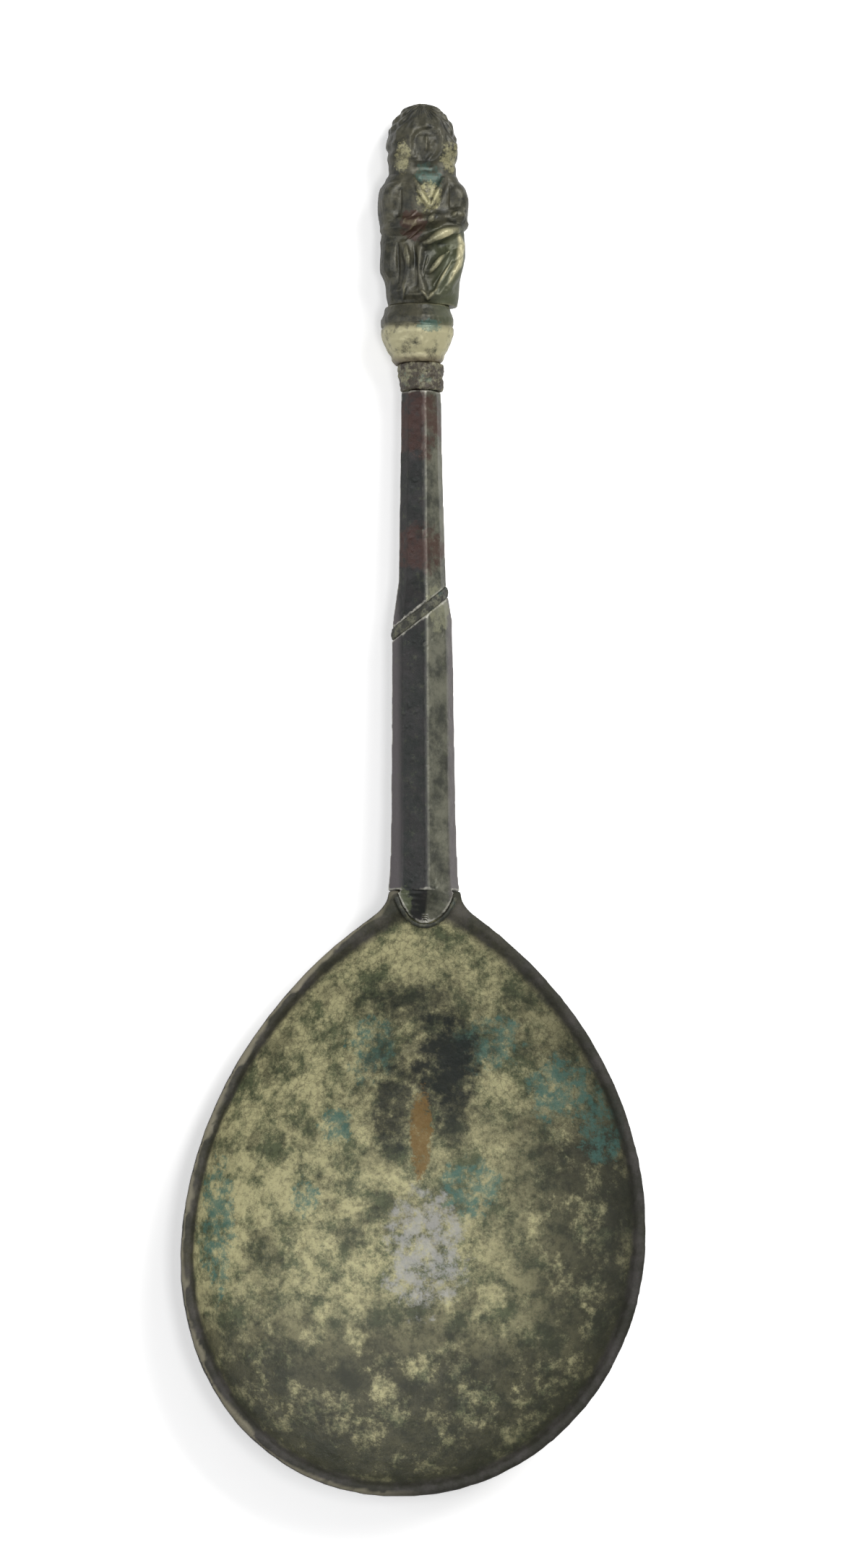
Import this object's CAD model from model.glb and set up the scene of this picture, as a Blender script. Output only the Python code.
"""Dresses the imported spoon: worn cast metal with mottled patina, seen from almost straight above."""
import math
from typing import NamedTuple

import bpy
import numpy as np
from mathutils import Matrix, Vector, noise


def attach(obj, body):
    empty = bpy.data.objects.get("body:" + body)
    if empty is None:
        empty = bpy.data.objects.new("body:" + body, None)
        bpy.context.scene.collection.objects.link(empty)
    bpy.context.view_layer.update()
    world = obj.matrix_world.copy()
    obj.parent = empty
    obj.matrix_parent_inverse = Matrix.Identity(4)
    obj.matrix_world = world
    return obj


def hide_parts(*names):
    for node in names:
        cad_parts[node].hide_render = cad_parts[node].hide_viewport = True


MM = 0.001

# How the spoon lies in the frame. Its own axes, in millimetres, have the rim at z = 0, the stem along +y and
# y = 0 at the bowl's widest place.
SPOON_TILT = math.radians(-2.057)
SPOON_PLACE = (1.041, -7.055, 9.729)

# The camera: its leans from straight above in degrees and its roll in radians.
CAMERA_LEAN_LEFT = 9.0
CAMERA_LEAN_DOWN = 4.0
CAMERA_ROLL = 0.0056

# Its distance, the height that it sees, the middle of that in the spoon's own axes and the width of its
# sensor, in millimetres.
CAMERA_DISTANCE = 1000.0
VIEW_HEIGHT = 179.25
VIEW_MIDDLE = (1.01, 52.84, 0.0)
SENSOR = 36.0

# The nearest and farthest that it sees, in metres.
CAMERA_CLIP = (0.01, 10.0)

# The lights: name, place, width and length in metres, power in watts, and colour.
LIGHTS = [
    ("key", (0.28, 0.34, 0.55), (0.32, 0.32), 3.4, (1.0, 0.99, 0.97)),
    ("fill", (-0.55, 0.05, 0.4), (0.2, 0.5), 1.15, (0.97, 0.98, 1.0)),
    ("overhead", (0.0, -0.02, 0.7), (0.1, 0.16), 1.0, (1.0, 1.0, 1.0)),
]
WHITE = (1.0, 1.0, 1.0, 1.0)

# How strongly the white world lights the spoon, where 1 is what the camera sees of it.
WORLD_LIGHT = 0.34

# The floor: half its side and its drop in metres, the glow that only the camera sees, how much more of it
# there is far off, and where that starts and is full, in millimetres from the middle.
FLOOR_HALF = 1.5
FLOOR_DROP = 0.00005
FLOOR_GLOW = 0.4
FAR_FLOOR_GLOW = 0.45
FAR_FLOOR = (200.0, 600.0)
FLOOR_COLOURS = ((0.86, 0.86, 0.86), (0.88, 0.88, 0.88))

# How each mesh is remade, in millimetres: its grain and softening passes, how far it swells to make up for
# them, the height and size of its lumps, and the depth of its pits.
PIECES = {
    "bowl": dict(
        grain=0.3, soften=2, swell=0.03, lump=0.06, lump_size=3.2, pit=0.05, slot="bowl_patina"),
    "bowl_braze": dict(
        grain=0.07, soften=2, swell=0.05, lump=0.05, lump_size=0.9, pit=0.02, slot="braze"),
    "stem_root": dict(
        grain=0.11, soften=1, swell=0.06, lump=0.04, lump_size=2.6, pit=0.03, slot="stem_patina"),
    "stem_shank": dict(
        grain=0.11, soften=1, swell=0.06, lump=0.05, lump_size=2.4, pit=0.03, slot="stem_patina"),
    "splice_solder": dict(
        grain=0.08, soften=2, swell=0.08, lump=0.07, lump_size=0.8, pit=0.04, slot="solder", look="splice"),
    "knop_collar": dict(
        grain=0.08, soften=2, swell=0.06, lump=0.16, lump_size=0.7, pit=0.05, slot="solder"),
    "knop_pedestal": dict(
        grain=0.1, soften=2, swell=0.05, lump=0.07, lump_size=1.3, pit=0.03, slot="knop_patina"),
    "knop_figure": dict(
        grain=0.08, soften=3, swell=0.06, lump=0.03, lump_size=1.1, pit=0.02, slot="knop_patina"),
}

# The shares of a lump's height and size that its finer lumps have.
FINE_LUMP_HEIGHT = 0.4
FINE_LUMP_SIZE = 0.37

# Pits come where two noises of these sizes, in millimetres, are both strong.
PIT_SIZES = (0.55, 1.7)
PIT_GAIN = 6
PIT_START = 0.55

# Where each noise of the meshes starts.
LUMP_SEED = 3.1
FINE_LUMP_SEED = 9.7
PIT_SEEDS = (21.0, 5.0)

# The roughness fades in over this height above the floor, in millimetres, and relief is measured against a
# skin smoothed this many times.
FLAT_FADE = 0.6
RELIEF_REACH = 10

# Strokes of the drapery in the spoon's own axes: path, half width and height, in millimetres.
# Each stands out of the front of the figure, or sinks into it where its height is negative.
DRAPERY = [
    ([(2.9, 122.7), (4.5, 120.4), (4.1, 117.6)], 0.85, 0.42),
    ([(-2.6, 122.5), (-3.9, 120.8), (-4.0, 118.5)], 0.8, 0.4),
    ([(-3.9, 118.3), (-1.8, 117.2), (0.1, 117.8)], 0.55, 0.38),
    ([(4.2, 117.3), (2.7, 118.2), (1.2, 118.0)], 0.5, 0.36),
    ([(0.4, 118.0), (0.9, 117.6)], 0.55, 0.4),
    ([(3.4, 118.7), (3.6, 118.3)], 0.4, 0.25),
    ([(-1.2, 122.6), (-0.5, 120.8), (0.5, 119.2)], 0.22, 0.24),
    ([(2.2, 122.6), (1.4, 120.8), (0.6, 119.2)], 0.22, 0.24),
    ([(0.5, 122.0), (0.5, 120.4)], 0.5, -0.16),
    ([(-2.6, 117.0), (-0.9, 118.8)], 0.13, 0.14),
    ([(-2.5, 116.0), (-0.5, 118.0)], 0.13, 0.14),
    ([(-2.2, 115.2), (-0.2, 117.1)], 0.13, 0.14),
    ([(-4.1, 115.2), (-4.0, 111.2)], 0.7, 0.42),
    ([(-3.0, 115.2), (-2.9, 110.6)], 0.2, -0.3),
    ([(-2.2, 114.8), (-1.9, 112.4)], 0.3, 0.34),
    ([(-1.2, 115.0), (-0.9, 110.2)], 0.22, -0.26),
    ([(0.0, 115.0), (2.1, 116.2), (3.7, 116.9)], 0.42, 0.45),
    ([(3.9, 116.6), (4.4, 115.2), (4.0, 112.8), (2.6, 110.2)], 0.42, 0.42),
    ([(1.5, 115.0), (3.0, 114.2)], 0.75, -0.5),
    ([(2.2, 113.8), (0.5, 111.6)], 0.22, 0.3),
    ([(3.2, 113.2), (1.3, 109.6)], 0.2, 0.24),
    ([(0.4, 113.6), (-0.2, 111.2)], 0.2, 0.22),
    ([(-3.5, 110.9), (-3.6, 108.4)], 0.22, 0.26),
    ([(-2.4, 110.6), (-2.3, 108.4)], 0.2, 0.26),
    ([(-0.8, 109.9), (0.3, 108.7), (1.6, 109.8)], 0.22, 0.26),
]

# How much of a stroke's height, and of its width, is left at its ends, and how soon it is full on the front.
TAPER = 0.3
NARROW = 0.6
FRONT_GAIN = 1.6

# The cap of hair, in the spoon's millimetres: strands fan out from above the crown in gentle waves, and fade
# away round the face and below the cap.
CROWN = (0.1, 130.4)
FAN_RISE = 1.2
STRANDS = 34
STRAND_HEIGHT = 0.085
WAVE = 0.8
WAVE_RATE = 2.1
HAIR_FLOOR = 123.8
HAIR_FADE = 0.8
FACE_MIDDLE = (0.0, 126.3)
FACE_REACH = (2.15, 3.1)
FACE_EDGE = 0.9
FACE_FADE = 0.7
BACK_OF_HEAD = -1.5

# Patina colours, linear.
OLIVE = (0.083, 0.096, 0.05)
PALE_OLIVE = (0.4, 0.375, 0.205)
CREAM = (0.42, 0.39, 0.235)
DARK_OLIVE = (0.019, 0.02, 0.012)
BLACK_GREEN = (0.008, 0.011, 0.009)
TEAL = (0.05, 0.125, 0.105)
RUST = (0.15, 0.086, 0.022)
RED_BROWN = (0.05, 0.02, 0.014)
PURPLE_GREY = (0.1, 0.088, 0.092)
GREEN_GREY = (0.135, 0.135, 0.1)
GREY = (0.3, 0.3, 0.29)
DIRT = (0.012, 0.01, 0.007)
RIM = (0.018, 0.018, 0.012)
BARE = (0.34, 0.31, 0.22)
BRIGHT = (0.45, 0.44, 0.38)
STEM_BLACK = (0.022, 0.02, 0.02)
STEM_GREEN = (0.035, 0.037, 0.028)
STEM_PALE = (0.2, 0.2, 0.13)
KNOP_DARK = (0.018, 0.019, 0.014)
KNOP_BROWN = (0.07, 0.066, 0.042)

# The two colours and the seed of each solder.
SOLDERS = {
    "solder": ((0.05, 0.04, 0.028), (0.2, 0.19, 0.12), 5.0),
    "splice": ((0.026, 0.026, 0.02), (0.11, 0.11, 0.072), 6.0),
    "braze": ((0.03, 0.032, 0.024), (0.09, 0.09, 0.055), 8.0),
}


class Cloud(NamedTuple):
    """Patches of noise: size in millimetres, detail, roughness, seed, and the span they fade over."""

    size: float
    detail: float
    rough: float
    seed: float
    low: float
    high: float


class Spot(NamedTuple):
    """A ragged oval on the spoon: middle and half sizes in its millimetres, raggedness, seed, softness."""

    x: float
    y: float
    wide: float
    long: float
    ragged: float
    seed: float
    soft: float = 0.0


# Clouds of the bowl, stem, knop and solders. A solder's own seed is added to those of its clouds.
BOWL_MOTTLE = Cloud(3.4, 9.0, 0.76, 1.0, 0.4, 0.58)
BOWL_FINE = Cloud(0.8, 7.0, 0.78, 2.0, 0.46, 0.62)
BOWL_DARK = Cloud(4.2, 9.0, 0.78, 7.0, 0.38, 0.52)
BOWL_FAINT = Cloud(6.5, 8.0, 0.7, 8.0, 0.5, 0.62)
TEAL_BROKEN = Cloud(1.1, 8.0, 0.75, 9.0, 0.4, 0.58)
HALO_BROKEN = Cloud(1.9, 9.0, 0.76, 29.0, 0.38, 0.6)
STREAK_BROKEN = Cloud(0.8, 6.0, 0.7, 40.0, 0.3, 0.5)
WORN_BROKEN = Cloud(1.3, 8.0, 0.75, 38.0, 0.4, 0.56)
RIM_MOTTLE = Cloud(3.0, 8.0, 0.7, 39.0, 0.4, 0.66)
STEM_MOTTLE = Cloud(2.4, 8.0, 0.72, 1.5, 0.36, 0.64)
STEM_FLECKS = Cloud(1.1, 7.0, 0.75, 3.0, 0.54, 0.7)
STEM_RUDDY = Cloud(1.5, 7.0, 0.72, 12.0, 0.34, 0.56)
RIDGE_BROKEN = Cloud(1.3, 6.0, 0.7, 47.0, 0.34, 0.6)
KNOP_MOTTLE = Cloud(1.5, 8.0, 0.72, 2.5, 0.36, 0.64)
THROAT_BROKEN = Cloud(0.8, 7.0, 0.75, 13.0, 0.36, 0.56)
CALYX_BROKEN = Cloud(2.0, 8.0, 0.72, 8.0, 0.34, 0.54)
FOLDS_BROKEN = Cloud(1.8, 7.0, 0.72, 14.0, 0.3, 0.52)
SOLDER_MOTTLE = Cloud(1.0, 8.0, 0.75, 0.0, 0.46, 0.6)
SOLDER_GREEN = Cloud(1.5, 6.0, 0.7, 2.0, 0.56, 0.68)

# Spots in the bowl: blue-green spots, the dark blot's parts with their strengths and its halo, the bare
# streak below it, and the worn middle.
TEAL_SPOTS = [
    Spot(-5.6, 22.7, 2.9, 4.2, 0.8, 11.0),
    Spot(7.4, 23.4, 4.2, 3.6, 0.8, 12.0),
    Spot(16.0, 18.0, 3.8, 4.0, 0.8, 13.0),
    Spot(20.6, 14.0, 2.6, 4.4, 0.8, 14.0),
    Spot(-9.4, 13.8, 2.2, 2.2, 0.8, 15.0),
    Spot(6.3, 6.8, 3.6, 3.6, 0.8, 16.0),
    Spot(-23.6, 2.2, 2.3, 8.0, 0.8, 17.0),
    Spot(-13.0, 5.6, 1.8, 2.4, 0.8, 18.0),
]
BLOTS = [
    (Spot(-1.6, 28.4, 6.0, 2.6, 0.8, 31.0, 0.35), 0.65),
    (Spot(3.0, 21.0, 4.0, 6.4, 0.8, 32.0, 0.35), 0.97),
    (Spot(-2.8, 15.8, 2.4, 5.4, 0.8, 33.0, 0.35), 0.8),
    (Spot(4.2, 14.0, 1.8, 3.6, 0.8, 34.0, 0.35), 0.6),
]
BLOT_HALO = Spot(0.4, 20.0, 8.5, 11.0, 0.8, 30.0, 0.5)
BARE_STREAK = Spot(0.6, 13.2, 1.4, 5.4, 0.6, 36.0)
WORN_MIDDLE = Spot(0.9, -0.4, 5.0, 8.0, 0.7, 37.0)

# Spots on the stem: two reddish stretches, the pale patch at the splice and the green at the root's foot.
RUDDY_SPOTS = [Spot(-0.4, 94.5, 3.4, 4.6, 0.5, 41.0), Spot(-0.4, 80.0, 3.4, 3.0, 0.5, 42.0)]
SPLICE_PATCH = Spot(1.6, 73.2, 1.7, 2.8, 0.7, 45.0)
FOOT_PATCH = Spot(-2.6, 39.0, 1.1, 2.2, 0.7, 46.0)

# Spots on the knop: the throat, the breast, the reddish sleeve, the pale side locks and the pedestal's top.
THROAT_SPOT = Spot(0.6, 123.0, 1.6, 1.5, 0.8, 51.0, 0.3)
BREAST_SPOT = Spot(0.5, 120.6, 1.5, 2.0, 0.6, 54.0)
SLEEVE_SPOT = Spot(-1.4, 117.4, 1.5, 2.2, 0.6, 52.0)
LOCK_SPOTS = [Spot(-2.4, 125.3, 0.9, 1.9, 0.7, 61.0), Spot(3.0, 125.2, 1.2, 1.9, 0.7, 62.0)]
PEDESTAL_SPOT = Spot(0.4, 105.5, 1.6, 0.8, 0.7, 63.0)

# Zones of the bowl by height from the plane of the rim, in millimetres, and its outside by how far the
# surface faces up, each from where it starts to where it is full.
WALL_HEIGHT = (-4.6, -0.8)
RIM_HEIGHT = (-1.0, -0.35)
ARRIS_HEIGHT = (-0.6, -0.2)
OUTSIDE_FACING = (0.25, 0.05)

# Zones along the frame's X or Y, each from where it starts to where it is full, in millimetres.
BOWL_LOWER = (-8.0, -22.0)
BOWL_RIGHT = (4.0, 20.0)
BOWL_RIGHT_TOP = (14.0, 4.0)
BOWL_UPPER = (-4.0, 12.0)
BOWL_LEFT = (2.0, -8.0)
STEM_RIGHT_FACE = (0.9, 1.3)
STEM_RIGHT_EDGE = (3.4, 4.2)
STEM_LEFT_EDGE = (-1.4, -2.2)
KNOP_RIGHT = (0.6, 3.6)
KNOP_SKIRT = (110.4, 109.2)
CALYX_FOOT = (93.4, 94.8)
CALYX_TOP = (99.0, 97.8)
DIRT_TOP = (95.6, 94.0)
DIRT_FOOT = (92.0, 93.0)

# Spans of relief in millimetres, for bright edges and dirty hollows, and of the drapery's height.
BOWL_ARRIS = (0.16, 0.24)
BOWL_HOLLOW = (-0.09, -0.02)
STEM_RIDGE = (0.02, 0.07)
KNOP_EDGE = (0.015, 0.1)
KNOP_HOLLOW = (-0.1, -0.01)
SOLDER_HOLLOW = (-0.06, -0.01)
FOLD_HEIGHT = (0.06, 0.3)

# The crackle of the upper bowl: cell size in millimetres and the cracks' share of a cell.
CRACKLE_SIZE = 0.9
CRACK = (0.0, 0.07)

# How a spot's edge is made ragged: the noise's size as a share of the spot, its gain, and the fade.
SPOT_GRAIN = 0.5
SPOT_GAIN = 6
SPOT_FADE = 0.55

# How much smoother the bowl's worn middle is, and how much rougher its rim and outside are.
WORN_SMOOTHER = 0.1
EDGE_ROUGHER = 0.15

# The strength of the knop's cream: that of its edges beside that of its folds, that of both away from the
# right of the skirt, and what is added there.
EDGE_CREAM = 0.6
CREAM_ELSEWHERE = 0.35
CREAM_ADDED = 0.65


def to_frame(x, y, z=0.0):
    """A point in the spoon's own millimetres, as a point of the frame in metres."""
    c, s = math.cos(SPOON_TILT), math.sin(SPOON_TILT)
    px, py, pz = SPOON_PLACE
    return Vector((x + px, c * y - s * z + py, s * y + c * z + pz)) * MM


def to_spoon(points):
    """Frame points in metres as rows of the spoon's own millimetres."""
    c, s = math.cos(SPOON_TILT), math.sin(SPOON_TILT)
    x, y, z = (points / MM - np.array(SPOON_PLACE)).T
    return np.column_stack([x, c * y + s * z, c * z - s * y])


# Meshes.


def copy_of(name):
    """A piece with the CAD node's shape, in the frame's own axes."""
    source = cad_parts[name]
    piece = bpy.data.objects.new(name + "_dressed", source.data.copy())
    bpy.context.scene.collection.objects.link(piece)
    piece.data.materials.clear()
    return piece


def baked(piece, *modifiers):
    """The piece with its modifiers applied."""
    for kind, settings in modifiers:
        modifier = piece.modifiers.new(kind.lower(), kind)
        for key, value in settings.items():
            setattr(modifier, key, value)
    graph = bpy.context.evaluated_depsgraph_get()
    mesh = bpy.data.meshes.new_from_object(piece.evaluated_get(graph))
    piece.modifiers.clear()
    piece.data = mesh
    return piece


def remade(name, grain, soften):
    """The CAD solid as one even, softened skin, as cast and worn metal is."""
    remesh = ("REMESH", dict(mode="VOXEL", voxel_size=grain * MM, use_smooth_shade=True))
    smooth = ("SMOOTH", dict(factor=0.5, iterations=soften))
    return baked(copy_of(name), remesh, smooth)


def vertex_rows(mesh, key):
    """The mesh's vertex places or normals, one to a row."""
    rows = np.zeros(len(mesh.vertices) * 3, np.float32)
    mesh.vertices.foreach_get(key, rows)
    return rows.reshape(-1, 3).astype(float)


def edge_rows(mesh):
    """The two vertices of each edge."""
    pairs = np.zeros(len(mesh.edges) * 2, np.int32)
    mesh.edges.foreach_get("vertices", pairs)
    return pairs.reshape(-1, 2)


def noise_rows(points, size, seed):
    """Smooth noise at each point, about -1 to 1, for lumps of that size in millimetres."""
    scaled = points / (size * MM) + seed
    return np.array([noise.noise(Vector(p)) for p in scaled])


def neighbour_mean(places, pairs):
    """Each place averaged with those that its edges lead to."""
    total = places.copy()
    count = np.ones(len(places))
    for a, b in ((0, 1), (1, 0)):
        np.add.at(total, pairs[:, a], places[pairs[:, b]])
        np.add.at(count, pairs[:, a], 1)
    return total / count[:, None]


def distance_to_path(points, path):
    """The least distance from each point to a path in the plane of x and y, and how far along it, 0 to 1."""
    best = np.full(len(points), np.inf)
    share = np.zeros(len(points))
    stretches = len(path) - 1
    for index, (start, end) in enumerate(zip(path[:-1], path[1:])):
        a, b = np.array(start), np.array(end)
        along = np.clip((points - a) @ (b - a) / ((b - a) @ (b - a)), 0, 1)
        far = np.linalg.norm(points - a - along[:, None] * (b - a), axis=1)
        nearer = far < best
        best[nearer] = far[nearer]
        share[nearer] = (index + along[nearer]) / stretches
    return best, share


def drapery_height(spoon, facing):
    """How far the figure's front stands out of the plain solid, in millimetres."""
    height = np.zeros(len(spoon))
    for path, width, lift in DRAPERY:
        far, share = distance_to_path(spoon[:, :2], path)
        taper = TAPER + (1 - TAPER) * np.sin(math.pi * share)
        reach = width * (NARROW + (1 - NARROW) * taper)
        height += lift * taper * np.exp(-((far / reach) ** 2))
    return height * np.clip(facing * FRONT_GAIN, 0, 1)


def hair_height(spoon):
    """Strands of hair on the head, away from the face, in millimetres."""
    x, y = spoon[:, 0] - CROWN[0], spoon[:, 1] - CROWN[1]
    fan = np.arctan2(x, -y + FAN_RISE)
    strand = np.sin(fan * STRANDS + WAVE * np.sin(y * WAVE_RATE))
    from_face = (spoon[:, :2] - np.array(FACE_MIDDLE)) / np.array(FACE_REACH)
    away = np.clip(((from_face**2).sum(axis=1) - FACE_EDGE) * FACE_FADE, 0, 1)
    away[spoon[:, 2] < BACK_OF_HEAD] = 1
    cap = np.clip((spoon[:, 1] - HAIR_FLOOR) / HAIR_FADE, 0, 1)
    return STRAND_HEIGHT * strand * away * cap


def store(mesh, name, values):
    """Keeps one number at each point, for the materials to read."""
    layer = mesh.attributes.new(name, "FLOAT", "POINT")
    layer.data.foreach_set("value", values.astype(np.float32))


def roughen(mesh, name, swell, lump, lump_size, pit):
    """Casting lumps, hammer marks and pits, and the relief of the figure."""
    points = vertex_rows(mesh, "co")
    normals = vertex_rows(mesh, "normal")
    height = swell + lump * noise_rows(points, lump_size, LUMP_SEED)
    height += FINE_LUMP_HEIGHT * lump * noise_rows(points, lump_size * FINE_LUMP_SIZE, FINE_LUMP_SEED)
    fine, coarse = (noise_rows(points, size, seed) for size, seed in zip(PIT_SIZES, PIT_SEEDS))
    height -= pit * np.clip(fine * coarse * PIT_GAIN - PIT_START, 0, 1)
    if name == "knop_figure":
        spoon = to_spoon(points)
        folds = drapery_height(spoon, normals[:, 2])
        height += folds + hair_height(spoon)
        store(mesh, "folds", folds)
    above_floor = np.clip(points[:, 2] / (FLAT_FADE * MM), 0, 1)
    moved = points + normals * (height * above_floor * MM)[:, None]
    mesh.vertices.foreach_set("co", moved.astype(np.float32).ravel())
    mesh.update()


def store_relief(mesh):
    """Stores how far each point stands out of its surroundings, for wear on edges and dirt in hollows."""
    points = vertex_rows(mesh, "co")
    normals = vertex_rows(mesh, "normal")
    pairs = edge_rows(mesh)
    smooth = points
    for _ in range(RELIEF_REACH):
        smooth = neighbour_mean(smooth, pairs)
    store(mesh, "relief", ((points - smooth) * normals).sum(axis=1) / MM)


# Materials.


class Nodes:
    """A short way to write a material's nodes."""

    def __init__(self, name):
        self.material = bpy.data.materials.new(name)
        self.material.use_nodes = True
        self.tree = self.material.node_tree
        self.shader = self.tree.nodes["Principled BSDF"]
        self.place = self.add("ShaderNodeTexCoord").outputs["Object"]

    def add(self, kind):
        return self.tree.nodes.new(kind)

    def join(self, source, socket):
        """Links a socket, or sets a plain value."""
        if isinstance(source, bpy.types.NodeSocket):
            self.tree.links.new(source, socket)
        else:
            socket.default_value = source

    def math(self, operation, a, b=0.0):
        node = self.add("ShaderNodeMath")
        node.operation = operation
        self.join(a, node.inputs[0])
        self.join(b, node.inputs[1])
        return node.outputs[0]

    def product(self, first, *others):
        for other in others:
            first = self.math("MULTIPLY", first, other)
        return first

    def inverse(self, value):
        """1 where the value is 0, and 0 where it is 1."""
        return self.math("SUBTRACT", 1.0, value)

    def noise(self, size, detail, rough, seed):
        """Noise from 0 to 1 with lumps of that size in millimetres."""
        node = self.add("ShaderNodeTexNoise")
        node.noise_dimensions = "4D"
        self.join(self.place, node.inputs["Vector"])
        node.inputs["W"].default_value = seed
        node.inputs["Scale"].default_value = 1 / (size * MM)
        node.inputs["Detail"].default_value = detail
        node.inputs["Roughness"].default_value = rough
        return node.outputs[0]

    def cracks(self, size):
        """1 on the cracks of a fine crackle, 0 inside its cells."""
        node = self.add("ShaderNodeTexVoronoi")
        node.feature = "DISTANCE_TO_EDGE"
        self.join(self.place, node.inputs["Vector"])
        node.inputs["Scale"].default_value = 1 / (size * MM)
        return self.inverse(self.span(node.outputs["Distance"], *CRACK))

    def span(self, value, low, high):
        """0 below low, 1 above high."""
        node = self.add("ShaderNodeMapRange")
        node.interpolation_type = "SMOOTHSTEP"
        self.join(value, node.inputs["Value"])
        node.inputs["From Min"].default_value = low
        node.inputs["From Max"].default_value = high
        return node.outputs[0]

    def cloud(self, cloud, added_seed=0.0):
        """The cloud's patches: 1 inside them, 0 outside."""
        grain = self.noise(cloud.size, cloud.detail, cloud.rough, cloud.seed + added_seed)
        return self.span(grain, cloud.low, cloud.high)

    def axis(self, letter):
        """The place along X, Y or Z, in millimetres of the frame."""
        node = self.add("ShaderNodeSeparateXYZ")
        self.join(self.place, node.inputs[0])
        return self.math("MULTIPLY", node.outputs[letter], 1 / MM)

    def zone(self, letter, ends):
        return self.span(self.axis(letter), *ends)

    def spot(self, spot):
        """1 inside a ragged oval at that place of the spoon, 0 outside."""
        centre = to_frame(spot.x, spot.y) / MM
        across = self.math("DIVIDE", self.math("SUBTRACT", self.axis("X"), centre.x), spot.wide)
        along = self.math("DIVIDE", self.math("SUBTRACT", self.axis("Y"), centre.y), spot.long)
        oval = self.math("ADD", self.product(across, across), self.product(along, along))
        size = min(spot.wide, spot.long) * SPOT_GRAIN
        grain = self.noise(size, detail=6.0, rough=0.7, seed=spot.seed)
        wobble = self.product(self.math("SUBTRACT", grain, 0.5), SPOT_GAIN * spot.ragged)
        inside = self.inverse(self.math("ADD", oval, wobble))
        return self.span(inside, -spot.soft, SPOT_FADE + spot.soft)

    def level(self, ends):
        """A zone of height in the spoon's own millimetres, from the plane of the rim."""
        c, s = math.cos(SPOON_TILT), math.sin(SPOON_TILT)
        up = self.product(self.math("SUBTRACT", self.axis("Z"), SPOON_PLACE[2]), c)
        slope = self.product(self.math("SUBTRACT", self.axis("Y"), SPOON_PLACE[1]), s)
        return self.span(self.math("SUBTRACT", up, slope), *ends)

    def facing(self, ends):
        """A zone of how far the surface faces up: 1 up, -1 down."""
        node = self.add("ShaderNodeSeparateXYZ")
        self.join(self.add("ShaderNodeTexCoord").outputs["Normal"], node.inputs[0])
        return self.span(node.outputs["Z"], *ends)

    def kept(self, name, ends):
        """A number stored at the mesh's points, as 0 below the first end and 1 above the second."""
        node = self.add("ShaderNodeAttribute")
        node.attribute_name = name
        return self.span(node.outputs["Fac"], *ends)

    def mix(self, a, b, share):
        node = self.add("ShaderNodeMix")
        node.data_type = "RGBA"
        self.join(share, node.inputs[0])
        for value, socket in ((a, node.inputs[6]), (b, node.inputs[7])):
            self.join((*value, 1.0) if isinstance(value, tuple) else value, socket)
        return node.outputs[2]

    def over(self, colour, paint, *shares, strength):
        """Paint laid over a colour, where all the shares are high."""
        return self.mix(colour, paint, self.product(*shares, strength))

    def uneven(self, base, size, gain):
        """A roughness that varies in lumps of that size."""
        grain = self.noise(size, detail=5.0, rough=0.6, seed=6.0)
        return self.math("ADD", base, self.product(grain, gain))

    def finish(self, colour, rough, metal, bump_size, bump, gleam=0.5):
        """The finished material. Sizes are in millimetres."""
        self.join(gleam, self.shader.inputs["Specular IOR Level"])
        self.join(colour, self.shader.inputs["Base Color"])
        self.join(rough, self.shader.inputs["Roughness"])
        self.join(metal, self.shader.inputs["Metallic"])
        node = self.add("ShaderNodeBump")
        node.inputs["Strength"].default_value = 1.0
        node.inputs["Distance"].default_value = bump * MM
        grain = self.noise(bump_size, detail=8.0, rough=0.7, seed=4.0)
        self.join(grain, node.inputs["Height"])
        self.join(node.outputs[0], self.shader.inputs["Normal"])
        return self.material


def bowl_ground(n):
    """The bowl's mottled olive, darker low down, at the right and up the wall, with a crackle above."""
    colour = n.mix(OLIVE, PALE_OLIVE, n.cloud(BOWL_MOTTLE))
    colour = n.over(colour, DARK_OLIVE, n.cloud(BOWL_FINE), strength=0.5)
    low = n.zone("Y", BOWL_LOWER)
    right = n.zone("X", BOWL_RIGHT)
    shade = n.math("MAXIMUM", low, n.product(right, n.zone("Y", BOWL_RIGHT_TOP)))
    colour = n.over(colour, DARK_OLIVE, n.cloud(BOWL_DARK), shade, strength=0.88)
    colour = n.over(colour, DARK_OLIVE, n.cloud(BOWL_FAINT), strength=0.5)
    colour = n.over(colour, DARK_OLIVE, n.level(WALL_HEIGHT), n.math("MAXIMUM", low, right), strength=0.6)
    return n.over(colour, DARK_OLIVE, n.cracks(CRACKLE_SIZE), n.zone("Y", BOWL_UPPER), strength=0.32)


def bowl_spots(n, colour, worn):
    """Blue-green spots, the dark blot in its halo, the bare streak and the worn middle."""
    broken = n.cloud(TEAL_BROKEN)
    for spot in TEAL_SPOTS:
        colour = n.over(colour, TEAL, n.spot(spot), broken, strength=0.8)
    colour = n.over(colour, DARK_OLIVE, n.spot(BLOT_HALO), n.cloud(HALO_BROKEN), strength=0.75)
    for spot, strength in BLOTS:
        colour = n.over(colour, BLACK_GREEN, n.spot(spot), strength=strength)
    colour = n.over(colour, RUST, n.spot(BARE_STREAK), n.cloud(STREAK_BROKEN), strength=0.85)
    return n.over(colour, GREY, worn, strength=0.75)


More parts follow.
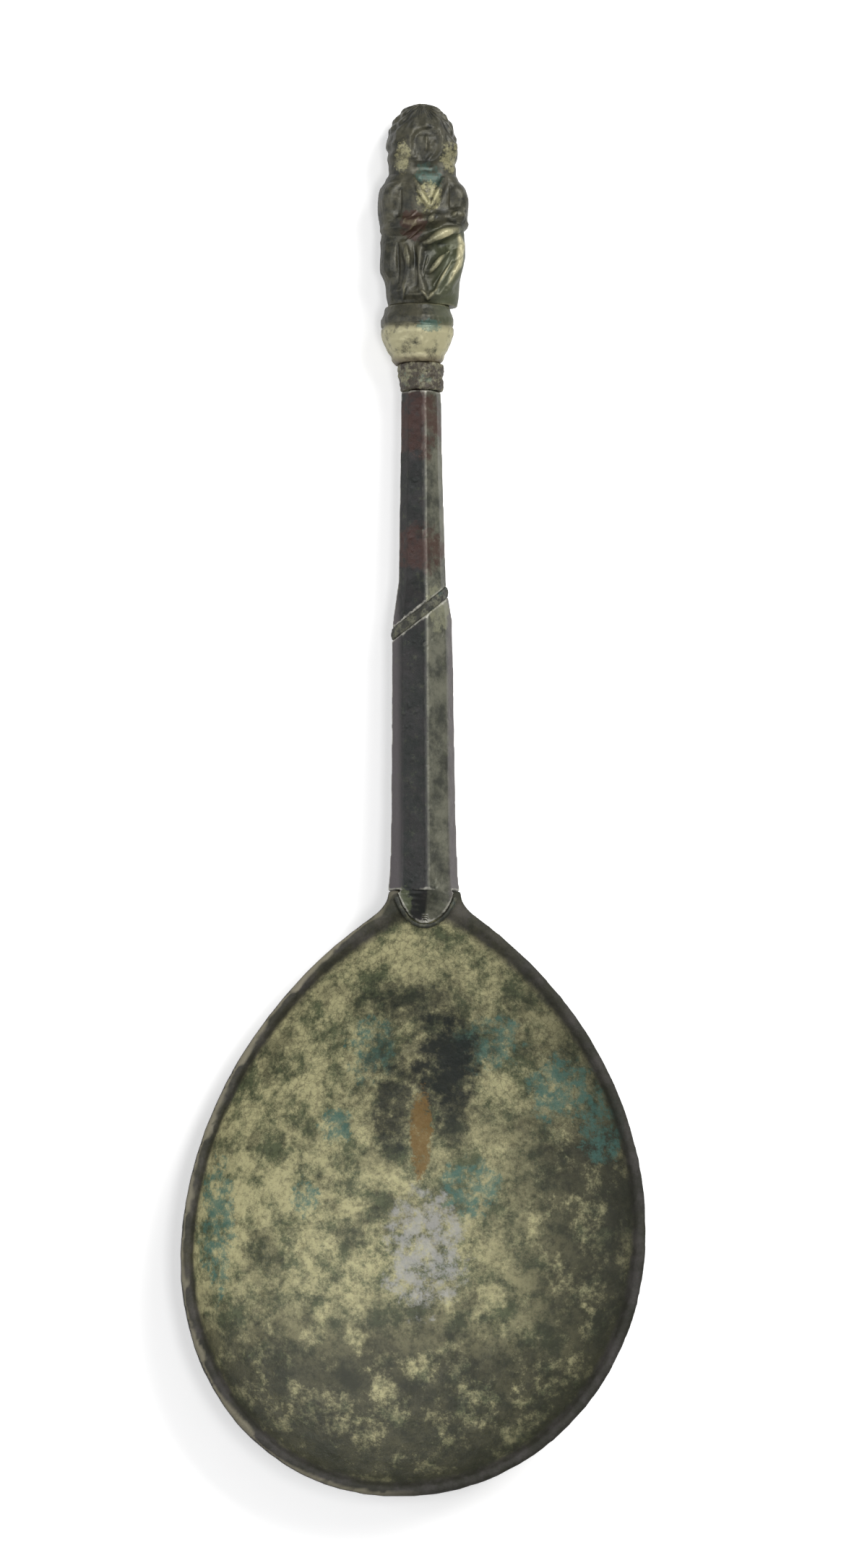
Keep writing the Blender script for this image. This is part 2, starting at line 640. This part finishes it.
def bowl_patina():
    n = Nodes("bowl_patina")
    worn = n.product(n.spot(WORN_MIDDLE), n.cloud(WORN_BROKEN))
    colour = bowl_spots(n, bowl_ground(n), worn)
    edge = n.math("MAXIMUM", n.level(RIM_HEIGHT), n.facing(OUTSIDE_FACING))
    rim = n.over(RIM, PURPLE_GREY, n.cloud(RIM_MOTTLE), strength=0.35)
    colour = n.over(colour, rim, edge, strength=0.94)
    arris = n.product(n.kept("relief", BOWL_ARRIS), n.zone("X", BOWL_LEFT), n.level(ARRIS_HEIGHT))
    colour = n.over(colour, BARE, arris, strength=0.5)
    colour = n.over(colour, DIRT, n.inverse(n.kept("relief", BOWL_HOLLOW)), strength=0.7)
    rough = n.uneven(base=0.34, size=2.2, gain=0.2)
    rough = n.math("SUBTRACT", rough, n.product(worn, WORN_SMOOTHER))
    rough = n.math("ADD", rough, n.product(edge, EDGE_ROUGHER))
    return n.finish(colour, rough, metal=0.1, bump_size=0.5, bump=0.1, gleam=0.3)


def stem_patina():
    """Near black to the left of the ridge and green-grey to its right, with paler edges and a worn ridge."""
    n = Nodes("stem_patina")
    mottle = n.cloud(STEM_MOTTLE)
    left_face = n.mix(BLACK_GREEN, STEM_BLACK, mottle)
    right_face = n.mix(GREEN_GREY, STEM_GREEN, mottle)
    colour = n.mix(left_face, right_face, n.zone("X", STEM_RIGHT_FACE))
    edge = n.math("MAXIMUM", n.zone("X", STEM_RIGHT_EDGE), n.zone("X", STEM_LEFT_EDGE))
    colour = n.over(colour, PURPLE_GREY, edge, strength=0.8)
    colour = n.over(colour, OLIVE, n.cloud(STEM_FLECKS), strength=0.4)
    ruddy = n.cloud(STEM_RUDDY)
    for spot in RUDDY_SPOTS:
        colour = n.over(colour, RED_BROWN, n.spot(spot), ruddy, strength=0.8)
    colour = n.over(colour, STEM_PALE, n.spot(SPLICE_PATCH), ruddy, strength=0.8)
    colour = n.over(colour, OLIVE, n.spot(FOOT_PATCH), strength=0.7)
    colour = n.over(colour, BRIGHT, n.kept("relief", STEM_RIDGE), n.cloud(RIDGE_BROKEN), strength=0.85)
    rough = n.uneven(base=0.24, size=1.4, gain=0.24)
    return n.finish(colour, rough, metal=0.2, bump_size=0.35, bump=0.04, gleam=0.4)


def knop_ground(n, skirt_right):
    """The knop's dark brown with its spots, and the pedestal's cream calyx on a dirty foot."""
    colour = n.mix(KNOP_DARK, KNOP_BROWN, n.cloud(KNOP_MOTTLE))
    colour = n.over(colour, OLIVE, skirt_right, strength=0.6)
    broken = n.cloud(THROAT_BROKEN)
    colour = n.over(colour, TEAL, n.spot(THROAT_SPOT), broken, strength=0.6)
    colour = n.over(colour, PALE_OLIVE, n.spot(BREAST_SPOT), broken, strength=0.8)
    colour = n.over(colour, RED_BROWN, n.spot(SLEEVE_SPOT), strength=0.7)
    for spot in LOCK_SPOTS:
        colour = n.over(colour, PALE_OLIVE, n.spot(spot), broken, strength=0.6)
    calyx = n.product(n.zone("Y", CALYX_FOOT), n.zone("Y", CALYX_TOP))
    colour = n.over(colour, CREAM, calyx, n.cloud(CALYX_BROKEN), strength=0.97)
    colour = n.over(colour, TEAL, n.spot(PEDESTAL_SPOT), strength=0.6)
    return n.over(colour, RED_BROWN, n.zone("Y", DIRT_TOP), n.zone("Y", DIRT_FOOT), strength=0.75)


def knop_patina():
    """Cream on raised edges and on the skirt's folds at the right, and near black in the hollows."""
    n = Nodes("knop_patina")
    skirt_right = n.product(n.zone("X", KNOP_RIGHT), n.zone("Y", KNOP_SKIRT))
    colour = knop_ground(n, skirt_right)
    edges = n.product(n.kept("relief", KNOP_EDGE), EDGE_CREAM)
    folds = n.product(n.kept("folds", FOLD_HEIGHT), skirt_right)
    raised = n.product(n.math("MAXIMUM", edges, folds), n.cloud(FOLDS_BROKEN))
    strength = n.math("ADD", CREAM_ELSEWHERE, n.product(skirt_right, CREAM_ADDED))
    colour = n.over(colour, CREAM, raised, strength=strength)
    colour = n.over(colour, BLACK_GREEN, n.inverse(n.kept("relief", KNOP_HOLLOW)), strength=0.85)
    rough = n.uneven(base=0.3, size=0.9, gain=0.22)
    return n.finish(colour, rough, metal=0.25, bump_size=0.25, bump=0.035)


def solder_patina(name, dark, pale, seed):
    n = Nodes(name)
    colour = n.mix(dark, pale, n.cloud(SOLDER_MOTTLE, seed))
    colour = n.over(colour, TEAL, n.cloud(SOLDER_GREEN, seed), strength=0.4)
    colour = n.over(colour, DIRT, n.inverse(n.kept("relief", SOLDER_HOLLOW)), strength=0.85)
    return n.finish(colour, rough=0.55, metal=0.1, bump_size=0.3, bump=0.05)


def floor_material():
    """Near white, with a glow that the camera sees and that doesn't light the spoon."""
    n = Nodes("pale_floor")
    colour = n.mix(*FLOOR_COLOURS, n.noise(size=40.0, detail=3.0, rough=0.5, seed=0.0))
    rays = n.add("ShaderNodeLightPath")
    n.join(WHITE, n.shader.inputs["Emission Color"])
    across, along = n.axis("X"), n.axis("Y")
    far = n.math("SQRT", n.math("ADD", n.product(across, across), n.product(along, along)))
    glow = n.math("ADD", n.product(n.span(far, *FAR_FLOOR), FAR_FLOOR_GLOW), FLOOR_GLOW)
    n.join(n.product(rays.outputs["Is Camera Ray"], glow), n.shader.inputs["Emission Strength"])
    return n.finish(colour, rough=0.9, metal=0.0, bump_size=1.0, bump=0.0)


# The stage.


def area_light(name, place, size, power, colour, target):
    data = bpy.data.lights.new(name, "AREA")
    data.shape = "RECTANGLE"
    data.size, data.size_y = size
    data.energy = power
    data.color = colour
    light = bpy.data.objects.new(name, data)
    light.location = place
    light.rotation_mode = "QUATERNION"
    light.rotation_quaternion = (Vector(place) - target).to_track_quat("Z", "Y")
    bpy.context.scene.collection.objects.link(light)


def world_light():
    """White to the camera, and dimmer as a light."""
    world = bpy.data.worlds.new("studio")
    bpy.context.scene.world = world
    world.use_nodes = True
    nodes, links = world.node_tree.nodes, world.node_tree.links
    background = nodes["Background"]
    background.inputs["Color"].default_value = WHITE
    rays = nodes.new("ShaderNodeLightPath")
    strength = nodes.new("ShaderNodeMapRange")
    strength.inputs["To Min"].default_value = WORLD_LIGHT
    links.new(rays.outputs["Is Camera Ray"], strength.inputs["Value"])
    links.new(strength.outputs[0], background.inputs["Strength"])


def camera_over(middle):
    """Looks down on the spoon as the photograph does, leaning to the left and towards the bowl's tip."""
    lean_x, lean_y = math.radians(CAMERA_LEAN_LEFT), math.radians(CAMERA_LEAN_DOWN)
    back = Vector((-math.tan(lean_x), -math.tan(lean_y), 1.0)).normalized()
    along = Vector((CAMERA_ROLL, math.cos(SPOON_TILT), math.sin(SPOON_TILT)))
    up = (along - back * along.dot(back)).normalized()
    right = up.cross(back)
    data = bpy.data.cameras.new("camera")
    data.sensor_width = SENSOR
    data.lens = SENSOR * CAMERA_DISTANCE / VIEW_HEIGHT
    data.clip_start, data.clip_end = CAMERA_CLIP
    camera = bpy.data.objects.new("camera", data)
    camera.matrix_world = Matrix((right, up, back)).transposed().to_4x4()
    camera.location = middle + back * CAMERA_DISTANCE * MM
    bpy.context.scene.collection.objects.link(camera)
    bpy.context.scene.camera = camera


def floor_plane():
    mesh = bpy.data.meshes.new("floor")
    signs = ((-1, -1), (1, -1), (1, 1), (-1, 1))
    corners = [(x * FLOOR_HALF, y * FLOOR_HALF, 0) for x, y in signs]
    mesh.from_pydata(corners, [], [(0, 1, 2, 3)])
    floor = bpy.data.objects.new("floor", mesh)
    floor.location.z = -FLOOR_DROP
    bpy.context.scene.collection.objects.link(floor)
    mesh.materials.append(floor_material())


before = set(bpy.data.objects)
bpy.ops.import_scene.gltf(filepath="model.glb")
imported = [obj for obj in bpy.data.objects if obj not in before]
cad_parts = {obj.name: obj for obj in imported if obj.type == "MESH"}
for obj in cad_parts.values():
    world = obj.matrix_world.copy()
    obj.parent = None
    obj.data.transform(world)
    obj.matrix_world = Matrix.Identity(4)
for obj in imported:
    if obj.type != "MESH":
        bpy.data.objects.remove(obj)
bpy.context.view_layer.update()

middle = to_frame(*VIEW_MIDDLE)
camera_over(middle)
floor_plane()
world_light()
for light in LIGHTS:
    area_light(*light, target=middle)

looks = {
    "bowl_patina": bowl_patina(),
    "stem_patina": stem_patina(),
    "knop_patina": knop_patina(),
}
for name, (dark, pale, seed) in SOLDERS.items():
    looks[name] = solder_patina(name, dark, pale, seed)

for name, made in PIECES.items():
    piece = remade(name, made["grain"], made["soften"])
    roughen(piece.data, name, made["swell"], made["lump"], made["lump_size"], made["pit"])
    store_relief(piece.data)
    piece.data.materials.append(looks[made.get("look", made["slot"])])
    piece.data.shade_smooth()
    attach(piece, "root")
    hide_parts(name)

bpy.context.scene.view_settings.view_transform = "Standard"
